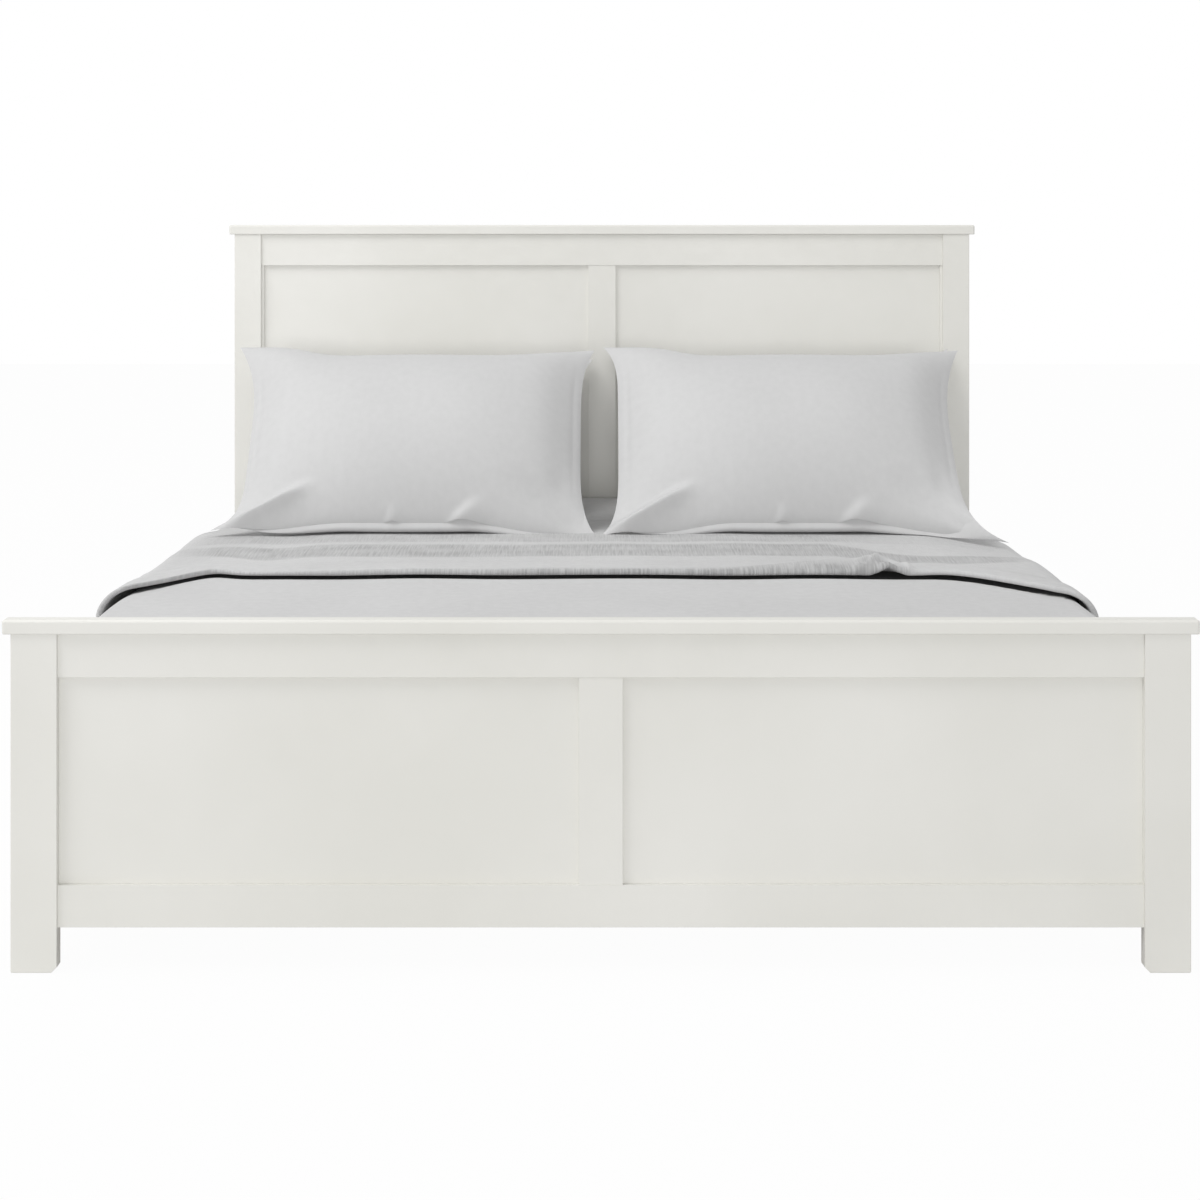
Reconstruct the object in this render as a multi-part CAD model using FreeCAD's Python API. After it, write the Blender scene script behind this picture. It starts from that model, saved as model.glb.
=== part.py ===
import FreeCAD, Part
import math
import os

Vector = FreeCAD.Vector

# A panelled bed for a wide mattress, in millimetres and degrees.
# +X is the right-hand side seen from the foot, +Y runs from the foot to the head, +Z is up.
# The origin lies on the floor, under the middle of the bed's bounding box.

# Mattress, and the room left round it
mattress_width = 1930.0
mattress_length = 2032.0
mattress_thickness = 254.0
mattress_corner = 70.0
mattress_side_gap = 24.0
mattress_end_gap = 14.0

# Posts of the two end boards
foot_height = 610.0
foot_post_width = 80.0
foot_post_depth = 24.0
head_height = 1291.0
head_post_width = 73.0
head_post_depth = 30.0
head_lip_width = 8.0
head_lip_setback = 9.0
post_edge_round = 2.0
post_toe_chamfer = 10.0
post_heel_round = 3.0

# Caps on the end boards
foot_cap_height = 25.0
head_cap_height = 26.0
cap_side_overhang = 14.5
cap_front_overhang = 4.0
cap_back_overhang = 3.0
cap_top_round = 5.0
cap_bottom_chamfer = 1.5

# Rails, stiles and panels of the end boards
foot_top_rail_height = 76.0
foot_bottom_rail_height = 73.0
foot_floor_gap = 77.0
foot_rail_thickness = 17.0
head_top_rail_height = 86.0
head_bottom_rail_height = 100.0
head_floor_gap = 185.0
head_rail_thickness = 23.0
rail_setback = 6.0
stile_width = 76.0
stile_setback = 7.0
panel_setback = 15.0
panel_thickness = 5.0
groove_depth = 10.0
groove_side_clearance = 0.2
panel_float = 2.0
tenon_length = 32.0
tenon_cheek = 4.0
tenon_shoulder = 14.0
mortise_clearance = 0.2
mortise_end_clearance = 1.5
panel_edge_ease = 1.0

# Dowels between the caps and the posts and rails
dowel_radius = 4.0
dowel_length = 34.0
dowel_cap_depth = 12.0
dowel_place_shares = (-1.0, 0.0, 1.0)

# Side rails, the ledges inside them, and the slats
side_rail_thickness = 24.0
side_rail_height = 200.0
side_rail_bottom = 120.0
side_rail_inset = 6.0
side_rail_round = 3.0
ledge_size = 30.0
ledge_end_gap = 12.0
ledge_ease = 2.0
slat_top = 276.0
slat_count = 14
slat_width = 70.0
slat_thickness = 18.0
slat_round = 2.0
slat_end_clearance = 3.0
slat_end_margin = 52.0

# Hooked plates on the side rails and slotted plates in the posts
plate_width = 18.0
plate_height = 132.0
plate_thickness = 3.0
plate_corner = 3.0
hook_thickness = 4.0
hook_neck_height = 14.0
hook_tooth_depth = 5.0
hook_tooth_drop = 9.0
hook_play = 0.4
slot_width = 5.0
slot_height = 24.0
slot_pocket_depth = 12.0
hook_low = -42.0
hook_high = 18.0

# Beam under the slats, its hangers and its legs
beam_width = 38.0
beam_height = 70.0
beam_ease = 3.0
hanger_sheet = 2.5
hanger_depth = 45.0
hanger_flange = 11.0
hanger_play = 0.3
centre_leg_place_shares = (-0.3, 0.0, 0.3)
centre_leg_top = 45.0
centre_leg_toe = 34.0
centre_leg_floor_gap = 14.0
leg_bolt_radius = 4.0
leg_bolt_length = 90.0

# Screw-in glides under the beam's legs
glide_foot_radius = 16.0
glide_foot_height = 6.0
glide_foot_bevel = 2.0
glide_stud_radius = 4.0
glide_stud_length = 40.0
glide_stud_chamfer = 1.0
glide_running_clearance = 0.05
insert_radius = 6.0
insert_length = 20.0
glide_bore_radius = 4.6
glide_bore_spare = 12.0

# Bedding
seat_clearance = 0.3
cover_thickness = 8.0
cover_hang = 215.0
fold_thickness = 17.0
fold_hang = 120.0
fold_length = 735.0
fold_head_gap = 578.0
pillow_side_room = 35.0
pillow_pair_gap = 4.0
pillow_row_shift = -5.0
pillow_side_draw = 46.0
pillow_top_narrowing = 20.0
pillow_top_sag = 38.0
pillow_low_bow = 6.0
front_pillow_height = 508.0
front_pillow_front_swell = 72.0
front_pillow_back_swell = 158.0
front_pillow_tilt = 51.0
rear_pillow_height = 600.0
rear_pillow_front_swell = 150.0
rear_pillow_back_swell = 120.0
rear_pillow_tilt = 36.0
pillow_inset_shares = (0.0, 0.04, 0.16, 0.42, 0.8)
pillow_bow_share = 3.2
pillow_crown_drop_share = 0.12
mattress_level_shares = (0.0, 0.03, 0.12, 0.88, 0.97, 1.0)
mattress_inset_shares = (0.386, 0.11, 0.0, 0.0, 0.11, 0.386)
mattress_crown = 6.0
mattress_crown_inset_share = 0.937

# One overrun for every cut that has to pass a face, and the finest feature that is told apart
overrun = 2.0
fine = 0.2
# How nearly two directions must agree to count as one
along_share = 0.999
# Iterations that bring one soft piece up to the next
seating_steps = 6

# Places that follow from the sizes above
rail_inner_x = mattress_width / 2 + mattress_side_gap
rail_outer_x = rail_inner_x + side_rail_thickness
frame_half_width = rail_outer_x + side_rail_inset
inner_length = mattress_length + 2 * mattress_end_gap
total_length = (cap_front_overhang + foot_post_depth + inner_length
                + head_post_depth + cap_back_overhang)
foot_front_y = cap_front_overhang - total_length / 2
foot_back_y = foot_front_y + foot_post_depth
head_front_y = foot_back_y + inner_length
inner_middle_y = (foot_back_y + head_front_y) / 2
plate_x = rail_outer_x - side_rail_thickness / 2
plate_z = side_rail_bottom + side_rail_height / 2
ledge_top = slat_top - slat_thickness
beam_bottom = ledge_top - beam_height
pillow_width = mattress_width / 2 - pillow_side_room
sides = (("left", -1), ("right", 1))


def box(x, y, z):
    """A block between three pairs of limits."""
    low = Vector(min(x), min(y), min(z))
    return Part.makeBox(max(x) - min(x), max(y) - min(y), max(z) - min(z), low)


def polygon_prism(points, direction):
    """A prism on a closed outline of straight edges."""
    return Part.Face(Part.makePolygon(points + [points[0]])).extrude(direction)


def is_along(edge, axis):
    """Whether a straight edge runs along an axis."""
    if edge.Curve.TypeId != "Part::GeomLine":
        return False
    return abs(edge.tangentAt(edge.FirstParameter).dot(axis)) > along_share


def ease_edges(shape, radius, wanted):
    """Rounds the edges that a test picks."""
    picked = [edge for edge in shape.Edges if wanted(edge)]
    return shape.makeFillet(radius, picked)


def chamfer_edges(shape, size, wanted):
    """Chamfers the edges that a test picks."""
    picked = [edge for edge in shape.Edges if wanted(edge)]
    return shape.makeChamfer(size, picked)


def mirrored(shape):
    """The same piece on the other side of the bed."""
    return shape.mirror(Vector(0, 0, 0), Vector(1, 0, 0))


def on_side(shape, side):
    """A piece built for the right-hand side, or its mirror image."""
    return shape if side > 0 else mirrored(shape)


def pin(centre, radius, length):
    """An upright round pin about its centre."""
    return Part.makeCylinder(radius, length, centre - Vector(0, 0, length / 2))


# End boards

def end_board_sizes(name):
    """The sizes of one end board, with the places that follow from them."""
    foot = name == "foot"
    sizes = {
        "height": foot_height if foot else head_height,
        "post_width": foot_post_width if foot else head_post_width,
        "depth": foot_post_depth if foot else head_post_depth,
        "lip": 0.0 if foot else head_lip_width,
        "cap": foot_cap_height if foot else head_cap_height,
        "rail_thickness": foot_rail_thickness if foot else head_rail_thickness,
        "front": foot_front_y if foot else head_front_y,
        "bottom_low": foot_floor_gap if foot else head_floor_gap,
    }
    sizes["post_top"] = sizes["height"] - sizes["cap"]
    sizes["top_low"] = sizes["post_top"] - (foot_top_rail_height if foot else head_top_rail_height)
    sizes["bottom_top"] = sizes["bottom_low"] + (
        foot_bottom_rail_height if foot else head_bottom_rail_height)
    sizes["inner_x"] = frame_half_width - sizes["post_width"]
    sizes["panel_x"] = sizes["inner_x"] - sizes["lip"]
    sizes["rail_y"] = (sizes["front"] + rail_setback, sizes["front"] + rail_setback + sizes["rail_thickness"])
    sizes["panel_y"] = (sizes["front"] + panel_setback, sizes["front"] + panel_setback + panel_thickness)
    sizes["groove_y"] = (sizes["panel_y"][0] - groove_side_clearance,
                         sizes["panel_y"][1] + groove_side_clearance)
    sizes["tenon_y"] = (sizes["rail_y"][0] + tenon_cheek, sizes["rail_y"][1] - tenon_cheek)
    return sizes


def tenon_z(low, top, groove_above):
    """The height of a rail's tenon: its grooved edge stands back behind the panel's edge."""
    if groove_above:
        return (low + tenon_cheek, top - tenon_shoulder)
    return (low + tenon_shoulder, top - tenon_cheek)


def post(sizes):
    """The right-hand post, with its mortises, its panel groove and its eased corners."""
    outer = frame_half_width
    inner = sizes["inner_x"]
    top = sizes["post_top"]
    front = sizes["front"]
    turn = post_heel_round * (1 - math.sqrt(0.5))
    heel = Part.Arc(Vector(outer, front, post_heel_round), Vector(outer - turn, front, turn),
                    Vector(outer - post_heel_round, front, 0)).toShape()
    corners = [
        Vector(outer - post_heel_round, front, 0),
        Vector(inner + post_toe_chamfer, front, 0),
        Vector(inner, front, post_toe_chamfer),
        Vector(inner, front, top),
        Vector(outer, front, top),
        Vector(outer, front, post_heel_round),
    ]
    outline = Part.Wire([heel] + Part.makePolygon(corners).Edges)
    body = Part.Face(outline).extrude(Vector(0, sizes["depth"], 0))
    body = ease_edges(body, post_edge_round, lambda edge: is_along(edge, Vector(0, 0, 1))
                      and abs(edge.CenterOfMass.x - outer) < post_edge_round)
    if sizes["lip"] > 0:
        lip = box((inner - sizes["lip"], inner), (front + head_lip_setback, front + sizes["depth"]),
                  (sizes["bottom_top"], sizes["top_low"]))
        body = body.fuse(lip).removeSplitter()
    groove_z = (sizes["bottom_top"] - groove_depth, sizes["top_low"] + groove_depth)
    groove = box((sizes["panel_x"] - overrun, sizes["panel_x"] + groove_depth), sizes["groove_y"], groove_z)
    cheek_y = (sizes["tenon_y"][0] - mortise_clearance, sizes["tenon_y"][1] + mortise_clearance)
    reach = (inner - overrun, inner + tenon_length + mortise_end_clearance)
    cuts = [groove]
    for low, high, groove_above in ((sizes["bottom_low"], sizes["bottom_top"], True),
                                    (sizes["top_low"], top, False)):
        limits = tenon_z(low, high, groove_above)
        cuts.append(box(reach, cheek_y, (limits[0] - mortise_clearance, limits[1] + mortise_clearance)))
    return body.cut(cuts)


def rail(sizes, low, high, groove_above):
    """A rail between the posts, with tenons at its ends and a groove along its inner edge."""
    inner = sizes["inner_x"]
    body = box((-inner, inner), sizes["rail_y"], (low, high))
    tenon = box((-inner - tenon_length, inner + tenon_length), sizes["tenon_y"],
                tenon_z(low, high, groove_above))
    edge_z = (high - groove_depth, high + overrun) if groove_above else (low - overrun, low + groove_depth)
    groove = box((-inner, inner), sizes["groove_y"], edge_z)
    return body.fuse(tenon).cut(groove).removeSplitter()


def stile(sizes):
    """The upright between the panels, with stub tenons in the rails' grooves."""
    half = stile_width / 2
    low = sizes["bottom_top"]
    high = sizes["top_low"]
    body = box((-half, half), (sizes["front"] + stile_setback, sizes["rail_y"][1]), (low, high))
    stub_half = half - groove_depth - panel_float
    stub_reach = groove_depth - panel_float
    stub = box((-stub_half, stub_half), sizes["panel_y"], (low - stub_reach, high + stub_reach))
    cuts = []
    for side in (-1, 1):
        cuts.append(box((side * (half + overrun), side * (half - groove_depth)), sizes["groove_y"],
                        (low - overrun, high + overrun)))
    return body.cut(cuts).fuse(stub).removeSplitter()


def panel(sizes):
    """The right-hand panel, floating in the grooves round it, with its edges eased."""
    reach = groove_depth - panel_float
    board = box((stile_width / 2 - reach, sizes["panel_x"] + reach), sizes["panel_y"],
                (sizes["bottom_top"] - reach, sizes["top_low"] + reach))
    return chamfer_edges(board, panel_edge_ease, lambda edge: not is_along(edge, Vector(0, 1, 0)))


def cap(sizes):
    """The board along the top, rounded over on its upper edges and its ends."""
    half = frame_half_width + cap_side_overhang
    board = box((-half, half),
                (sizes["front"] - cap_front_overhang, sizes["front"] + sizes["depth"] + cap_back_overhang),
                (sizes["post_top"], sizes["height"]))
    upper = sizes["height"] - cap_top_round
    board = ease_edges(board, cap_top_round, lambda edge: edge.CenterOfMass.z > upper
                       or is_along(edge, Vector(0, 0, 1)))
    return chamfer_edges(board, cap_bottom_chamfer,
                         lambda edge: edge.BoundBox.ZMax < sizes["post_top"] + fine)


def dowels(sizes):
    """The dowels that hold the cap: one in each post and the rest in the top rail."""
    middle_x = frame_half_width - sizes["post_width"] / 2
    middle_z = sizes["post_top"] + dowel_cap_depth - dowel_length / 2
    pins = []
    for share in dowel_place_shares:
        in_post = abs(share) == 1
        y = sizes["front"] + sizes["depth"] / 2 if in_post else sum(sizes["rail_y"]) / 2
        pins.append(pin(Vector(share * middle_x, y, middle_z), dowel_radius, dowel_length))
    return pins


def end_board(name):
    """All the pieces of one end board, as a table of names and shapes."""
    sizes = end_board_sizes(name)
    pins = dowels(sizes)
    word = name + "board_"
    upright = "leg_" if name == "foot" else "post_"
    pieces = {
        word + "cap": cap(sizes).cut(pins),
        word + "top_rail": rail(sizes, sizes["top_low"], sizes["post_top"], False).cut(pins),
        word + "bottom_rail": rail(sizes, sizes["bottom_low"], sizes["bottom_top"], True),
        word + "centre_stile": stile(sizes),
        word + "cap_dowels": Part.makeCompound(pins),
    }
    for side_name, side in sides:
        pieces[word + upright + side_name] = on_side(post(sizes), side).cut(pins)
        pieces[word + "panel_" + side_name] = on_side(panel(sizes), side)
    return pieces


# Side rails and the plates that carry them

def corner_frame(end):
    """Where a side rail meets an end board: the meeting plane, and the way into the rail."""
    return (foot_back_y, 1) if end == "foot" else (head_front_y, -1)


def plate_blank(end, into_rail):
    """A plate let in flush at the meeting plane, on the rail's side or the post's side."""
    y, way = corner_frame(end)
    depth = plate_thickness * way * (1 if into_rail else -1)
    blank = box((plate_x - plate_width / 2, plate_x + plate_width / 2), (y, y + depth),
                (plate_z - plate_height / 2, plate_z + plate_height / 2))
    return chamfer_edges(blank, plate_corner, lambda edge: is_along(edge, Vector(0, 1, 0)))


def hook(end, low):
    """A hook that passes through the slot and hangs down behind the slotted plate."""
    y, way = corner_frame(end)
    behind = y - way * (plate_thickness + hook_play)
    tip = behind - way * hook_tooth_depth
    x = plate_x - hook_thickness / 2
    base = plate_z + low
    outline = [
        Vector(x, y, base),
        Vector(x, behind, base),
        Vector(x, behind, base - hook_tooth_drop),
        Vector(x, tip, base - hook_tooth_drop + hook_tooth_depth / 2),
        Vector(x, tip, base + hook_neck_height - hook_tooth_depth / 2),
        Vector(x, behind, base + hook_neck_height),
        Vector(x, y, base + hook_neck_height),
    ]
    return polygon_prism(outline, Vector(hook_thickness, 0, 0))


def hook_plate(end):
    """The plate in the end of a side rail, with its two hooks."""
    hooks = [hook(end, hook_low), hook(end, hook_high)]
    return plate_blank(end, True).fuse(hooks).removeSplitter()


def slots(end, depth, side_room):
    """The two slots of a slotted plate, or the pockets behind them."""
    y, way = corner_frame(end)
    half = slot_width / 2 + side_room
    cuts = []
    for low in (hook_low, hook_high):
        base = plate_z + low
        drop = hook_tooth_drop + side_room if side_room > 0 else 0
        cuts.append(box((plate_x - half, plate_x + half), (y, y - way * depth),
                        (base - drop, base + slot_height + side_room)))
    return cuts


def slotted_plate(end):
    """The plate in the face of a post, with its two slots."""
    return plate_blank(end, False).cut(slots(end, plate_thickness, 0))


def post_pockets(end):
    """What is cut from a post for its slotted plate and the hooks."""
    return [plate_blank(end, False)] + slots(end, plate_thickness + slot_pocket_depth, slot_width / 2)


def side_rail():
    """The right-hand side rail, with its plates' recesses."""
    board = box((rail_inner_x, rail_outer_x), (foot_back_y, head_front_y),
                (side_rail_bottom, side_rail_bottom + side_rail_height))
    board = ease_edges(board, side_rail_round, lambda edge: is_along(edge, Vector(0, 1, 0)))
    return board.cut([plate_blank(end, True) for end in ("foot", "head")])


def slat_places():
    """The middles of the slats along the bed."""
    start = foot_back_y + slat_end_margin + slat_width / 2
    end = head_front_y - slat_end_margin - slat_width / 2
    pitch = (end - start) / (slat_count - 1)
    return [start + pitch * index for index in range(slat_count)]


def slat(y):
    """A slat across the bed, rounded along its upper edges."""
    half = rail_inner_x - slat_end_clearance
    board = box((-half, half), (y - slat_width / 2, y + slat_width / 2), (ledge_top, slat_top))
    return ease_edges(board, slat_round, lambda edge: is_along(edge, Vector(1, 0, 0))
                      and edge.CenterOfMass.z > slat_top - slat_round)


def ledge():
    """The right-hand ledge that carries the slats' ends."""
    board = box((rail_inner_x - ledge_size, rail_inner_x),
                (foot_back_y + ledge_end_gap, head_front_y - ledge_end_gap),
                (ledge_top - ledge_size, ledge_top))
    return chamfer_edges(board, ledge_ease, lambda edge: is_along(edge, Vector(0, 1, 0))
                         and edge.CenterOfMass.x < rail_inner_x - ledge_ease)


# Beam, hangers and legs in the middle

beam_foot_y = end_board_sizes("foot")["rail_y"][1]
beam_head_y = end_board_sizes("head")["rail_y"][0]


def hanger(end):
    """A sheet hanger with two flanges and a floor, which carries one end of the beam."""
    y, way = (beam_foot_y, 1) if end == "foot" else (beam_head_y, -1)
    inner = beam_width / 2 + hanger_play
    wall = inner + hanger_sheet
    flange = wall + hanger_flange
    floor_z = beam_bottom - hanger_sheet
    plan = [
        Vector(inner, y, floor_z),
        Vector(flange, y, floor_z),
        Vector(flange, y + way * hanger_sheet, floor_z),
        Vector(wall, y + way * hanger_sheet, floor_z),
        Vector(wall, y + way * hanger_depth, floor_z),
        Vector(inner, y + way * hanger_depth, floor_z),
    ]
    cheek = polygon_prism(plan, Vector(0, 0, beam_height + hanger_sheet))
    floor = box((-wall, wall), (y, y + way * hanger_depth), (floor_z, beam_bottom))
    return floor.fuse([cheek, mirrored(cheek)]).removeSplitter()


def centre_leg_places():
    """Where the beam's legs stand along the bed."""
    return [inner_middle_y + share * inner_length for share in centre_leg_place_shares]


def leg_bolts():
    """A bolt between the beam and each of its legs."""
    return [pin(Vector(0, y, beam_bottom), leg_bolt_radius, leg_bolt_length) for y in centre_leg_places()]


def beam():
    """The beam under the middle of the slats."""
    board = box((-beam_width / 2, beam_width / 2), (beam_foot_y, beam_head_y), (beam_bottom, ledge_top))
    board = chamfer_edges(board, beam_ease, lambda edge: is_along(edge, Vector(0, 1, 0)))
    return board.cut(leg_bolts())


def square(y, z, size):
    """A square outline about the bed's middle line."""
    half = size / 2
    corners = [Vector(-half, y - half, z), Vector(half, y - half, z),
               Vector(half, y + half, z), Vector(-half, y + half, z)]
    return Part.makePolygon(corners + [corners[0]])


def centre_leg(y):
    """A leg that tapers to its foot, bored from below for the glide."""
    toe = centre_leg_floor_gap
    body = Part.makeLoft([square(y, toe, centre_leg_toe), square(y, beam_bottom, centre_leg_top)], True, True)
    depth = glide_foot_height + glide_stud_length - toe + glide_bore_spare
    bore = Part.makeCylinder(glide_bore_radius, depth, Vector(0, y, toe))
    seat = Part.makeCylinder(insert_radius, insert_length, Vector(0, y, toe))
    return body.cut([bore, seat] + leg_bolts())


def insert(y):
    """The threaded sleeve in the end of a leg."""
    start = Vector(0, y, centre_leg_floor_gap)
    sleeve = Part.makeCylinder(insert_radius, insert_length, start)
    return sleeve.cut(Part.makeCylinder(glide_stud_radius + glide_running_clearance, insert_length, start))


def glide(y):
    """The foot and stud that screw in and out of a leg, turned about one axis."""
    radius = glide_foot_radius
    height = glide_foot_height
    top = height + glide_stud_length
    outline = [
        Vector(0, y, 0),
        Vector(radius, y, 0),
        Vector(radius, y, height - glide_foot_bevel),
        Vector(radius - glide_foot_bevel, y, height),
        Vector(glide_stud_radius, y, height),
        Vector(glide_stud_radius, y, top - glide_stud_chamfer),
        Vector(glide_stud_radius - glide_stud_chamfer, y, top),
        Vector(0, y, top),
    ]
    face = Part.Face(Part.makePolygon(outline + [outline[0]]))
    return face.revolve(Vector(0, y, 0), Vector(0, 0, 1), 360)


# Bedding

def rounded_outline(half_x, half_y, corner, z):
    """A rectangle with round corners, about the middle of the mattress."""
    turn = corner * (1 - math.sqrt(0.5))
    middle = inner_middle_y
    edges = []
    for sx, sy in ((1, 1), (-1, 1), (-1, -1), (1, -1)):
        start = Vector(sx * half_x, middle + sy * (half_y - corner), z)
        through = Vector(sx * (half_x - turn), middle + sy * (half_y - turn), z)
        end = Vector(sx * (half_x - corner), middle + sy * half_y, z)
        arc = (start, through, end) if sx * sy > 0 else (end, through, start)
        edges.append(arc)
    parts = []
    for index, (start, through, end) in enumerate(edges):
        parts.append(Part.Arc(start, through, end).toShape())
        parts.append(Part.makeLine(end, edges[(index + 1) % len(edges)][0]))
    return Part.Wire(parts)


def mattress_body(offset):
    """The mattress with soft edges and a crown, or the same form swollen by an offset."""
    rings = []
    for level, inset in zip(mattress_level_shares, mattress_inset_shares):
        z = slat_top + level * mattress_thickness + offset * (2 * level - 1)
        rings.append((inset * mattress_corner - offset, z))
    crown_z = slat_top + mattress_thickness + mattress_crown + offset
    rings.append((mattress_crown_inset_share * mattress_corner, crown_z))
    outlines = [rounded_outline(mattress_width / 2 - draw, mattress_length / 2 - draw,
                                mattress_corner - draw, z) for draw, z in rings]
    return Part.makeLoft(outlines, True, True)


def draped(inside, outside, y, hang):
    """A layer over the mattress, between two offsets, cut at its ends and its hems."""
    top = slat_top + mattress_thickness
    reach = mattress_width
    keep = box((-reach, reach), y, (top - hang, top + reach))
    return mattress_body(outside).cut(mattress_body(inside)).common(keep)


cover_inside = seat_clearance
cover_outside = cover_inside + cover_thickness
fold_inside = cover_outside + seat_clearance
fold_outside = fold_inside + fold_thickness
fold_y = (head_front_y - fold_head_gap - fold_length, head_front_y - fold_head_gap)


def pillow_outline(height, inset_share, level):
    """The outline at one level: four arcs, drawn in at the seam and bowed out near the low crown."""
    draw = inset_share * height / 2
    low_x = pillow_width / 2 - draw
    high_x = low_x - pillow_top_narrowing * (1 - inset_share)
    middle_y = -inset_share * pillow_crown_drop_share * height / 2
    half_y = height / 2 - draw
    bow_share = 1 - pillow_bow_share * inset_share
    side_x = (low_x + high_x) / 2 - pillow_side_draw * bow_share
    corners = [Vector(high_x, middle_y + half_y, level), Vector(-high_x, middle_y + half_y, level),
               Vector(-low_x, middle_y - half_y, level), Vector(low_x, middle_y - half_y, level)]
    middles = [Vector(0, middle_y + half_y - pillow_top_sag * bow_share, level),
               Vector(-side_x, middle_y, level),
               Vector(0, middle_y - half_y + pillow_low_bow * bow_share, level),
               Vector(side_x, middle_y, level)]
    arcs = [Part.Arc(corners[index], middles[index], corners[(index + 1) % len(corners)]).toShape()
            for index in range(len(corners))]
    return Part.Wire(arcs)


def pillow_blank(height, front_swell, back_swell):
    """A flat pillow about its centre: each side of it swells from the seam to its crown."""
    steepest = math.sqrt(1 - (1 - pillow_inset_shares[-1]) ** 2)
    halves = []
    for reach in (front_swell, -back_swell):
        outlines = []
        for share in pillow_inset_shares:
            swell_share = math.sqrt(1 - (1 - share) ** 2) / steepest
            outlines.append(pillow_outline(height, share, swell_share * reach))
        halves.append(Part.makeLoft(outlines, True, True))
    return halves[0].fuse(halves[1]).removeSplitter()


def net(shape):
    """The points of a fine net on a curved piece."""
    return shape.tessellate(fine)[0]


def moved(shape, x, y, z):
    """A copy of a shape, moved."""
    copy = shape.copy()
    copy.translate(Vector(x, y, z))
    return copy


def tilted_pillow(blank, tilt, x, floor_z):
    """A pillow leant back at a tilt, with its lowest edge on the bedding."""
    leant = blank.copy()
    leant.rotate(Vector(0, 0, 0), Vector(1, 0, 0), tilt)
    return moved(leant, x, 0, floor_z + seat_clearance - min(point.z for point in net(leant)))


def leant_against(shape, support):
    """A soft piece slid towards the head until it is just clear of its support."""
    for _ in range(seating_steps):
        gap = shape.distToShape(support)[0]
        shape = moved(shape, 0, gap - seat_clearance, 0)
    return shape


def pillows():
    """Two pillows against the headboard and two in front of them."""
    crown_top = slat_top + mattress_thickness + mattress_crown
    offset = (pillow_width + pillow_pair_gap) / 2
    rear_blank = pillow_blank(rear_pillow_height, rear_pillow_front_swell, rear_pillow_back_swell)
    front_blank = pillow_blank(front_pillow_height, front_pillow_front_swell, front_pillow_back_swell)
    pieces = {}
    for side_name, side in sides:
        x = pillow_row_shift + side * offset
        rear = tilted_pillow(rear_blank, rear_pillow_tilt, x, crown_top + cover_outside)
        rear = moved(rear, 0, head_front_y - seat_clearance - max(point.y for point in net(rear)), 0)
        front = tilted_pillow(front_blank, front_pillow_tilt, x, crown_top + fold_outside)
        front = moved(front, 0, rear.BoundBox.YMin - front.BoundBox.YMax, 0)
        pieces["pillow_rear_" + side_name] = rear
        pieces["pillow_front_" + side_name] = leant_against(front, rear)
    return pieces


# The whole bed

def build():
    """Every piece of the bed, under the name of its file."""
    pieces = {}
    for end in ("foot", "head"):
        pieces.update(end_board(end))
    for end, names in (("foot", ("footboard_leg_left", "footboard_leg_right")),
                       ("head", ("headboard_post_left", "headboard_post_right"))):
        for (_, side), name in zip(sides, names):
            pockets = [on_side(cut, side) for cut in post_pockets(end)]
            pieces[name] = pieces[name].cut(pockets)
    hooked = []
    slotted = []
    for _, side in sides:
        for end in ("foot", "head"):
            hooked.append(on_side(hook_plate(end), side))
            slotted.append(on_side(slotted_plate(end), side))
    pieces["rail_hook_plates"] = Part.makeCompound(hooked)
    pieces["post_slotted_plates"] = Part.makeCompound(slotted)
    for side_name, side in sides:
        pieces["side_rail_" + side_name] = on_side(side_rail(), side)
        pieces["slat_ledge_" + side_name] = on_side(ledge(), side)
    for number, y in enumerate(slat_places(), 1):
        pieces["slat_%02d" % number] = slat(y)
    for end in ("foot", "head"):
        pieces["beam_hanger_" + end] = hanger(end)
    pieces["centre_beam"] = beam()
    pieces["centre_leg_bolts"] = Part.makeCompound(leg_bolts())
    places = centre_leg_places()
    for number, y in enumerate(places, 1):
        pieces["centre_leg_%d" % number] = centre_leg(y)
        pieces["leg_glide_%d" % number] = glide(y)
    pieces["glide_inserts"] = Part.makeCompound([insert(y) for y in places])
    pieces["mattress"] = mattress_body(0)
    half = mattress_length / 2
    pieces["bed_cover"] = draped(cover_inside, cover_outside,
                                 (inner_middle_y - half - cover_outside, inner_middle_y + half), cover_hang)
    pieces["folded_sheet"] = draped(fold_inside, fold_outside, fold_y, fold_hang)
    pieces.update(pillows())
    return pieces


os.makedirs("parts", exist_ok=True)
for node, shape in sorted(build().items()):
    shape.exportStep("parts/" + node + ".step")
    limits = shape.BoundBox
    print("%-24s solids %2d valid %s volume %.0f cm3 z %.1f to %.1f" % (
        node, len(shape.Solids), shape.isValid(), shape.Volume / 1000, limits.ZMin, limits.ZMax))
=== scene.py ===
import math
import bmesh
import bpy
import numpy as np
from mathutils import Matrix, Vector


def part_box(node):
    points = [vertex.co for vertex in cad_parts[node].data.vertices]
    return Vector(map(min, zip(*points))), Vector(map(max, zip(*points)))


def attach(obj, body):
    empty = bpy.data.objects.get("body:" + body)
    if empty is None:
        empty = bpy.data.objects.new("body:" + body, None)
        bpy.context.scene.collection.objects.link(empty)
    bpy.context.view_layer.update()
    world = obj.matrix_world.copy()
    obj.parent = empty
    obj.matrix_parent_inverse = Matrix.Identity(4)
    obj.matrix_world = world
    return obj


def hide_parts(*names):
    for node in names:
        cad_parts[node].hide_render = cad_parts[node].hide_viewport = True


# A panelled bed, made up for one photograph: painted boards from the frame, and cloth, pillows,
# mattress and small hardware made here. Metres, +Y from foot to head, +Z up.

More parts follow.
